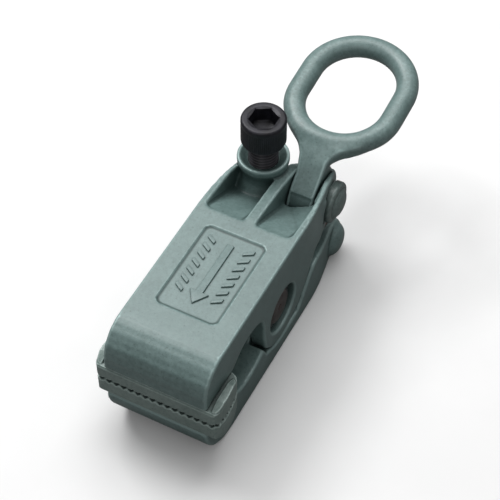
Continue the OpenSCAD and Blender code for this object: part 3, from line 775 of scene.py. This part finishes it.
ob = new_object("ring_pin_grub", grub(RING_PIN, diameter=4.9))
finish_piece(ob, "upper_jaw", BLACK, "ring_pin_set_screw", curv=0.4)
ob = new_object("tail_pin_grub", grub(TAIL_PIN, diameter=3.9))
finish_piece(ob, "lower_jaw", BLACK, "tail_pin_set_screw", curv=0.4)

roller = lathe(band(4.5, 8.5, -7.05, 7.05, [0.2, 0.8, 0.8, 0.2], steps=4), closed=True)
ob = new_object("tail_roller_turned", place(roller, (TAIL_PIN["x"], LUG_Y, TAIL_PIN["z"]), "+Y"))
finish_piece(ob, "tail_roller", PIN, "tail_roller", curv=0.8)

# ------------------------------------------------------------------ clamping screw
SCREW_AXIS = (SCREW_X, SCREW_Y, 0)
FOOT_RADIUS = 9.8
DISH_RADIUS, DISH_CENTRE_Z = 40.0, 52.05    # sphere of the foot's bottom
FOOT_GROOVE_LOW, FOOT_GROOVE_HIGH = 18.0, 19.2
FOOT_CLIP_PLAY = 0.06
SCREW_SEGMENTS = 216
THREAD_PITCH, THREAD_DEPTH = 2.0, 1.08
THREAD_START, THREAD_END = 22.6, 84.2
THREAD_STEP = 0.25
CREST_RADIUS, LEAD_RADIUS, RUNOUT_RADIUS = 8.0, 6.5, 7.9
HEAD_TOP, HEAD_BOTTOM, HEAD_RADIUS = 101.4, 85.4, 12.0
RIM_RADIUS = 1.6
SOCKET_FLATS = 14.0


def thrust_pad():
    return lathe(rounded([(0, 6.0), (9.45, 6.0), (9.45, 11.4), (8.85, 12.0), (0, 12.0)],
                         [0, 0.3, 0.2, 0.2, 0]))


def screw_foot():
    """cup on the screw's tip, with a curved bottom and a clip groove in its bore"""
    radii = [FOOT_RADIUS * i / 12 for i in range(13)]
    bottom = [(r, DISH_CENTRE_Z - math.sqrt(DISH_RADIUS ** 2 - r ** 2)) for r in radii]
    low, high = FOOT_GROOVE_LOW, FOOT_GROOVE_HIGH
    cup = rounded([(FOOT_RADIUS, 14.0), (FOOT_RADIUS, 21.6), (5.05, 21.6), (5.05, high + 0.05),
                   (6.0, high), (6.0, low), (5.05, low - 0.05), (5.05, 14.8), (0, 14.8)],
                  [0, 0.5, 0.3, 0.1, 0.1, 0.1, 0.1, 0.2, 0], steps=2)
    return lathe(bottom + cup)


def foot_clip():
    profile = band(4.35, 5.94, FOOT_GROOVE_LOW + FOOT_CLIP_PLAY,
                   FOOT_GROOVE_HIGH - FOOT_CLIP_PLAY, 0.15, steps=2)
    return lathe(profile, 60, closed=True, start=8, sweep=344)


def thread_rings():
    """a helix in the radius, run out at both ends"""
    rings = []
    z = THREAD_START
    while z <= THREAD_END + 1e-6:
        lead = min(1.0, (z - THREAD_START) / 1.5)
        lead_limit = LEAD_RADIUS + (CREST_RADIUS - LEAD_RADIUS) * lead
        runout = 1 - max(0.0, (THREAD_END - z) / 2.5)
        radii = []
        for i in range(SCREW_SEGMENTS):
            phase = (z / THREAD_PITCH - i / SCREW_SEGMENTS) % 1.0
            # 0 at the root, 1 at the crest, with a small flat on each
            flank = min(1.0, max(0.0, (abs(2 * phase - 1) - 0.10) / 0.80))
            radius = CREST_RADIUS - THREAD_DEPTH * (1 - flank)
            if z < THREAD_START + 1.6:
                radius = min(radius, lead_limit)
            if z > THREAD_END - 2.5:
                radius += (RUNOUT_RADIUS - radius) * runout
            radii.append(radius)
        rings.append(radial_ring(radii, z))
        z += THREAD_STEP
    return rings


def knurl_ring(radius, z, depth):
    """every third point is cut to the full depth"""
    return radial_ring([radius - (depth if i % 3 == 0 else depth * 0.1)
                        for i in range(SCREW_SEGMENTS)], z)


def clamp_screw():
    n = SCREW_SEGMENTS
    top, low, high = HEAD_TOP, FOOT_GROOVE_LOW, FOOT_GROOVE_HIGH

    def circles(stations):
        return [circle_ring(r, z, n) for r, z in stations]

    rings = [[(0, 0, 15.05)]]
    rings += circles(rounded([(4.4, 15.0), (5.0, 15.6), (5.0, low), (4.25, low), (4.25, high),
                              (5.0, high), (5.0, 22.3)], 0.15, steps=2))
    rings += circles([(LEAD_RADIUS, 22.45)])
    rings += thread_rings()
    # fillet under the head
    rings += circles([(7.95, 84.6), (8.1, 85.0), (8.5, 85.3), (9.0, HEAD_BOTTOM),
                      (11.0, HEAD_BOTTOM), (11.45, HEAD_BOTTOM + 0.1)])
    # fine straight knurl on the side: z, radius, depth
    for z, radius, depth in ((85.9, 11.8, 0.0), (86.3, 11.97, 0.12), (86.7, HEAD_RADIUS, 0.26),
                             (90, HEAD_RADIUS, 0.28), (94, HEAD_RADIUS, 0.28),
                             (97.6, HEAD_RADIUS, 0.28), (98.2, HEAD_RADIUS, 0.2),
                             (98.7, HEAD_RADIUS, 0.0)):
        rings.append(knurl_ring(radius, z, depth))
    # rounded rim, then the flat top
    rim = [math.radians(8 + (90 - 8) * i / 8) for i in range(9)]
    rings += circles([(HEAD_RADIUS - RIM_RADIUS + RIM_RADIUS * math.cos(a),
                       top - RIM_RADIUS + RIM_RADIUS * math.sin(a)) for a in rim])
    rings += circles([(9.2, top), (8.75, top - 0.03), (8.4, top - 0.16)])
    # hexagon socket with its chamfered mouth and drilled bottom
    rings.append(hex_ring(SOCKET_FLATS, top - 0.7, n, max_radius=8.12))
    rings += [hex_ring(SOCKET_FLATS, top - depth, n) for depth in (0.95, 4, 8.7)]
    rings.append(hex_ring(SOCKET_FLATS - 0.3, top - 8.95, n))
    rings += circles([(6.2, top - 9.3), (3.2, top - 10.3)])
    rings.append([(0, 0, top - 10.9)])
    return skin(rings)


ob = new_object("thrust_pad_turned", place(thrust_pad(), SCREW_AXIS))
finish_piece(ob, "lower_jaw", PIN, "thrust_pad", curv=0.6)
ob = new_object("screw_foot_turned", place(screw_foot(), SCREW_AXIS))
finish_piece(ob, "screw_foot", PIN, "screw_foot", curv=0.6)
ob = new_object("foot_clip", place(foot_clip(), SCREW_AXIS))
finish_piece(ob, "screw_foot", SPRING, "foot_snap_ring", curv=0.3)
ob = new_object("clamp_screw_threaded", place(clamp_screw(), SCREW_AXIS), sharp=42)
finish_piece(ob, "clamp_screw", BLACK, "clamp_screw", curv=0.45)


# ------------------------------------------------------------------ pull ring
def neck_weight(co):
    """the neck between the pin eye and the ring"""
    x, y, z = co.T
    # distance from the ring's centre along its tilted axis
    along = (x - RING_X) * math.cos(RING_PITCH) + (z - RING_Z) * math.sin(RING_PITCH)
    from_pin = np.hypot(x - RING_PIN["x"], z - RING_PIN["z"])
    mask = fall(-27, -19, along) * rise(19.5, 24.0, from_pin) * rise(58, 64, z)
    return mask * (0.12 + 0.88 * rise(-50, -42, along))


ring = dense("pull_ring", "pull_ring_forged", CASTING_VOXEL)
relax(ring.data, 60, neck_weight)
relax(ring.data, 8)
finish_piece(ring, "pull_ring", PAINT, "pull_ring", curv=2.2)

bush = lathe(band(7.0, 9.0, -7.15, 7.15, 0.25), closed=True)
ob = new_object("ring_bush_turned", place(bush, (RING_PIN["x"], LUG_Y, RING_PIN["z"]), "+Y"))
finish_piece(ob, "pull_ring", BRONZE, "ring_bush", curv=0.5)


# ------------------------------------------------------------------ stage, metres from here on
def add_floor():
    """pale to the camera, but throws less light back up than real white paper"""
    half = 2.2
    me = bpy.data.meshes.new("floor")
    me.from_pydata([(-half, -half, 0), (half, -half, 0), (half, half, 0), (-half, half, 0)],
                   [], [(0, 1, 2, 3)])
    ob = link_mesh("floor", me)
    sh = Shader("floor_pale")
    patches = sh.span(sh.noise(size=60, detail=3), start=0.3, end=0.7)
    seen = sh.mix(patches, (0.86, 0.86, 0.86), (0.88, 0.88, 0.88))
    is_camera = sh.node("LightPath").outputs["Is Camera Ray"]
    color = sh.mix(is_camera, (0.19, 0.19, 0.19), seen)
    me.materials.append(sh.finish(base_color=color, roughness=0.9, specular_ior_level=0.1))
    ob.location.z = -0.0004       # just clear of the part's underside


def add_area_light(name, location, target, size, power):
    light = bpy.data.lights.new(name, "AREA")
    light.shape = "RECTANGLE"
    light.size, light.size_y = size
    light.energy = power
    ob = bpy.data.objects.new(name, light)
    bpy.context.scene.collection.objects.link(ob)
    ob.location = location
    ob.rotation_mode = "QUATERNION"
    ob.rotation_quaternion = (Vector(target) - Vector(location)).to_track_quat("-Z", "Y")


def add_world():
    """a room bright overhead and dim at eye level; the camera sees plain white"""
    dim, bright, seen = 0.05, 0.50, 1.05    # background strengths
    world = bpy.data.worlds.new("studio")
    bpy.context.scene.world = world
    world.use_nodes = True
    nodes, link = world.node_tree.nodes, world.node_tree.links.new
    background = nodes["Background"]
    coords = nodes.new("ShaderNodeTexCoord")
    split = nodes.new("ShaderNodeSeparateXYZ")
    link(coords.outputs["Generated"], split.inputs[0])
    ramp = nodes.new("ShaderNodeMapRange")
    ramp.interpolation_type = "SMOOTHSTEP"
    for key, value in (("From Min", 0.05), ("From Max", 0.85), ("To Min", dim),
                       ("To Max", bright)):
        ramp.inputs[key].default_value = value
    link(split.outputs[2], ramp.inputs["Value"])
    path = nodes.new("ShaderNodeLightPath")
    mix = nodes.new("ShaderNodeMix")
    mix.data_type = "FLOAT"
    link(path.outputs["Is Camera Ray"], mix.inputs[0])
    link(ramp.outputs["Result"], mix.inputs[2])
    mix.inputs[3].default_value = seen
    link(mix.outputs[0], background.inputs[1])
    background.inputs[0].default_value = (1.0, 1.0, 1.0, 1)


def add_camera(azimuth, elevation, location, lens):
    """looks along azimuth (radians from +X towards +Y), tipped down by elevation"""
    level = Vector((math.cos(azimuth), math.sin(azimuth), 0))
    forward = level * math.cos(elevation) + Vector((0, 0, -math.sin(elevation)))
    right = Vector((math.sin(azimuth), -math.cos(azimuth), 0))
    up = -forward.cross(right)
    data = bpy.data.cameras.new("camera")
    data.sensor_fit = "HORIZONTAL"
    data.sensor_width = 36.0
    data.lens = lens
    data.clip_start, data.clip_end = 0.01, 20
    camera = bpy.data.objects.new("camera", data)
    bpy.context.scene.collection.objects.link(camera)
    pose = Matrix((right, up, -forward)).transposed().to_4x4()
    pose.translation = Vector(location)
    camera.matrix_world = pose
    bpy.context.scene.camera = camera


add_floor()
add_area_light("key", location=(0.30, 0.85, 1.25), target=(0.0, 0.0, 0.05),
               size=(0.7, 0.6), power=13.0)
add_area_light("top", location=(0.60, 0.10, 1.35), target=(0.03, 0.0, 0.05),
               size=(0.9, 0.9), power=8.5)
add_area_light("front", location=(-1.0, -0.25, 1.05), target=(0.0, 0.0, 0.04),
               size=(0.8, 0.4), power=1.3)
add_world()
bpy.context.scene.view_settings.view_transform = "Standard"
bpy.context.scene.view_settings.look = "None"
add_camera(azimuth=0.47927, elevation=0.88148, location=(-0.43772, -0.23659, 0.66792),
           lens=111.6)
